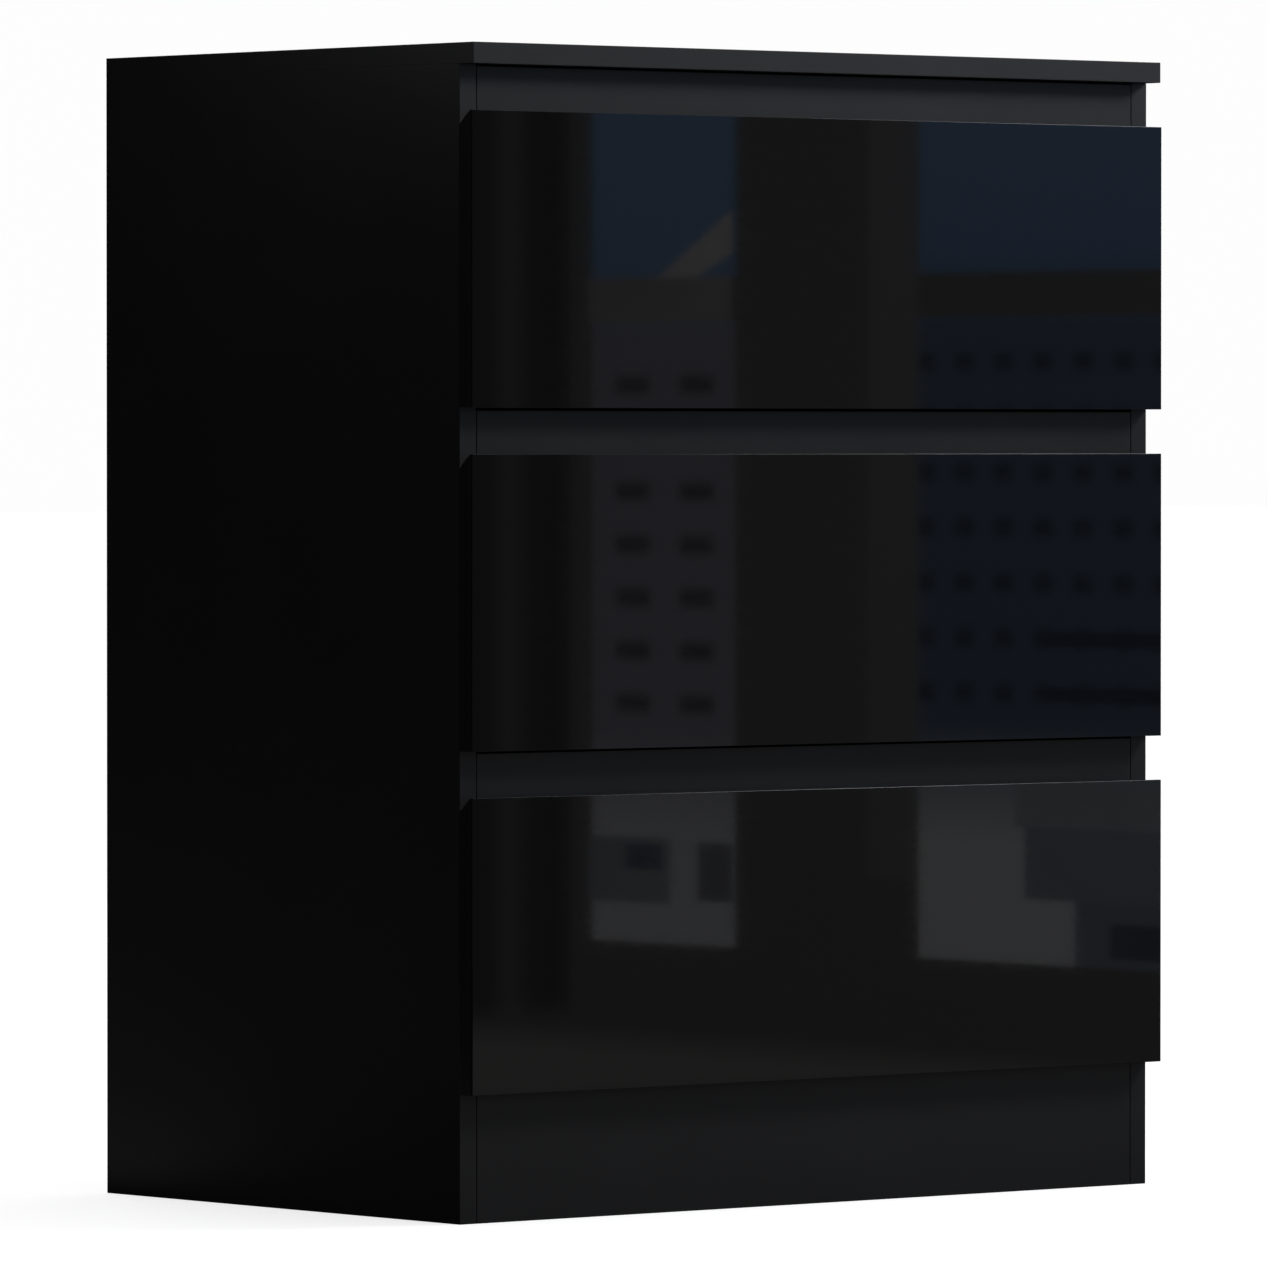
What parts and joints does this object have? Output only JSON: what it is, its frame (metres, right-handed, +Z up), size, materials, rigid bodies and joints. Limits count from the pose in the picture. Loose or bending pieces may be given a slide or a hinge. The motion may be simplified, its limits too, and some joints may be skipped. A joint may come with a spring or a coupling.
{
  "type": "chest of drawers",
  "caption": "Tall bedside chest with handleless gloss drawer fronts, finger gaps between them and an overhanging top panel.",
  "frame": {"origin": "middle of the footprint, on the floor", "axes": "+Z up, the drawers open towards -Y, +X to the right as seen from the front"},
  "size_m": [0.652, 0.4264, 0.8275],
  "materials": {
    "carcass_black": "satin black melamine over particle board",
    "gloss_front": "high-gloss black acrylic sheet",
    "front_board_black": "black edged board behind the gloss sheet",
    "drawer_foil": "matt grey linen foil over board",
    "hardboard": "brown hardboard",
    "runner_steel": "zinc-plated rolled steel",
    "roller_nylon": "white nylon",
    "fastener_zinc": "zinc-plated cams, screws and nails"
  },
  "bodies": {
    "carcass": {"top_panel": "carcass_black", "side_panel_left": "carcass_black", "side_panel_right": "carcass_black", "bottom_panel": "carcass_black", "back_panel": "hardboard", "plinth_front": "carcass_black", "plinth_rear": "carcass_black", "front_rail_lower": "carcass_black", "front_rail_upper": "carcass_black", "front_rail_top": "carcass_black", "rear_rail_top": "carcass_black", "lower_runner_cabinet_left": "runner_steel", "lower_runner_cabinet_right": "runner_steel", "middle_runner_cabinet_left": "runner_steel", "middle_runner_cabinet_right": "runner_steel", "upper_runner_cabinet_left": "runner_steel", "upper_runner_cabinet_right": "runner_steel"},
    "lower_drawer": {"lower_drawer_facing": "gloss_front", "lower_drawer_front_board": "front_board_black", "lower_drawer_side_left": "drawer_foil", "lower_drawer_side_right": "drawer_foil", "lower_drawer_back": "drawer_foil", "lower_drawer_base": "drawer_foil", "lower_runner_drawer_left": "runner_steel", "lower_runner_drawer_right": "runner_steel"},
    "lower_roller_front_left": {"lower_roller_front_left": "roller_nylon"},
    "lower_roller_rear_left": {"lower_roller_rear_left": "roller_nylon"},
    "lower_roller_front_right": {"lower_roller_front_right": "roller_nylon"},
    "lower_roller_rear_right": {"lower_roller_rear_right": "roller_nylon"},
    "middle_drawer": {"middle_drawer_facing": "gloss_front", "middle_drawer_front_board": "front_board_black", "middle_drawer_side_left": "drawer_foil", "middle_drawer_side_right": "drawer_foil", "middle_drawer_back": "drawer_foil", "middle_drawer_base": "drawer_foil", "middle_runner_drawer_left": "runner_steel", "middle_runner_drawer_right": "runner_steel"},
    "middle_roller_front_left": {"middle_roller_front_left": "roller_nylon"},
    "middle_roller_rear_left": {"middle_roller_rear_left": "roller_nylon"},
    "middle_roller_front_right": {"middle_roller_front_right": "roller_nylon"},
    "middle_roller_rear_right": {"middle_roller_rear_right": "roller_nylon"},
    "upper_drawer": {"upper_drawer_facing": "gloss_front", "upper_drawer_front_board": "front_board_black", "upper_drawer_side_left": "drawer_foil", "upper_drawer_side_right": "drawer_foil", "upper_drawer_back": "drawer_foil", "upper_drawer_base": "drawer_foil", "upper_runner_drawer_left": "runner_steel", "upper_runner_drawer_right": "runner_steel"},
    "upper_roller_front_left": {"upper_roller_front_left": "roller_nylon"},
    "upper_roller_rear_left": {"upper_roller_rear_left": "roller_nylon"},
    "upper_roller_front_right": {"upper_roller_front_right": "roller_nylon"},
    "upper_roller_rear_right": {"upper_roller_rear_right": "roller_nylon"}
  },
  "joints": [
    {"name": "lower_drawer_slide", "type": "slide", "parent": "carcass", "child": "lower_drawer", "axis": [0, -1, 0], "range_m": [0, 0.25]},
    {"name": "lower_roller_front_left_spin", "type": "hinge", "parent": "carcass", "child": "lower_roller_front_left", "pos_m": [-0.3047, -0.18175, 0.1205], "axis": [1, 0, 0], "continuous": true},
    {"name": "lower_roller_rear_left_spin", "type": "hinge", "parent": "lower_drawer", "child": "lower_roller_rear_left", "pos_m": [-0.3047, 0.13775, 0.1205], "axis": [1, 0, 0], "continuous": true},
    {"name": "lower_roller_front_right_spin", "type": "hinge", "parent": "carcass", "child": "lower_roller_front_right", "pos_m": [0.3047, -0.18175, 0.1205], "axis": [1, 0, 0], "continuous": true},
    {"name": "lower_roller_rear_right_spin", "type": "hinge", "parent": "lower_drawer", "child": "lower_roller_rear_right", "pos_m": [0.3047, 0.13775, 0.1205], "axis": [1, 0, 0], "continuous": true},
    {"name": "middle_drawer_slide", "type": "slide", "parent": "carcass", "child": "middle_drawer", "axis": [0, -1, 0], "range_m": [0, 0.25]},
    {"name": "middle_roller_front_left_spin", "type": "hinge", "parent": "carcass", "child": "middle_roller_front_left", "pos_m": [-0.3047, -0.18175, 0.361], "axis": [1, 0, 0], "continuous": true},
    {"name": "middle_roller_rear_left_spin", "type": "hinge", "parent": "middle_drawer", "child": "middle_roller_rear_left", "pos_m": [-0.3047, 0.13775, 0.361], "axis": [1, 0, 0], "continuous": true},
    {"name": "middle_roller_front_right_spin", "type": "hinge", "parent": "carcass", "child": "middle_roller_front_right", "pos_m": [0.3047, -0.18175, 0.361], "axis": [1, 0, 0], "continuous": true},
    {"name": "middle_roller_rear_right_spin", "type": "hinge", "parent": "middle_drawer", "child": "middle_roller_rear_right", "pos_m": [0.3047, 0.13775, 0.361], "axis": [1, 0, 0], "continuous": true},
    {"name": "upper_drawer_slide", "type": "slide", "parent": "carcass", "child": "upper_drawer", "axis": [0, -1, 0], "range_m": [0, 0.25]},
    {"name": "upper_roller_front_left_spin", "type": "hinge", "parent": "carcass", "child": "upper_roller_front_left", "pos_m": [-0.3047, -0.18175, 0.6015], "axis": [1, 0, 0], "continuous": true},
    {"name": "upper_roller_rear_left_spin", "type": "hinge", "parent": "upper_drawer", "child": "upper_roller_rear_left", "pos_m": [-0.3047, 0.13775, 0.6015], "axis": [1, 0, 0], "continuous": true},
    {"name": "upper_roller_front_right_spin", "type": "hinge", "parent": "carcass", "child": "upper_roller_front_right", "pos_m": [0.3047, -0.18175, 0.6015], "axis": [1, 0, 0], "continuous": true},
    {"name": "upper_roller_rear_right_spin", "type": "hinge", "parent": "upper_drawer", "child": "upper_roller_rear_right", "pos_m": [0.3047, 0.13775, 0.6015], "axis": [1, 0, 0], "continuous": true}
  ],
  "couplings": [
    {"joint": "lower_roller_front_left_spin", "follows": "lower_drawer_slide", "rad_per_m": 100},
    {"joint": "lower_roller_rear_left_spin", "follows": "lower_drawer_slide", "rad_per_m": 100},
    {"joint": "lower_roller_front_right_spin", "follows": "lower_drawer_slide", "rad_per_m": 100},
    {"joint": "lower_roller_rear_right_spin", "follows": "lower_drawer_slide", "rad_per_m": 100},
    {"joint": "middle_roller_front_left_spin", "follows": "middle_drawer_slide", "rad_per_m": 100},
    {"joint": "middle_roller_rear_left_spin", "follows": "middle_drawer_slide", "rad_per_m": 100},
    {"joint": "middle_roller_front_right_spin", "follows": "middle_drawer_slide", "rad_per_m": 100},
    {"joint": "middle_roller_rear_right_spin", "follows": "middle_drawer_slide", "rad_per_m": 100},
    {"joint": "upper_roller_front_left_spin", "follows": "upper_drawer_slide", "rad_per_m": 100},
    {"joint": "upper_roller_rear_left_spin", "follows": "upper_drawer_slide", "rad_per_m": 100},
    {"joint": "upper_roller_front_right_spin", "follows": "upper_drawer_slide", "rad_per_m": 100},
    {"joint": "upper_roller_rear_right_spin", "follows": "upper_drawer_slide", "rad_per_m": 100}
  ]
}
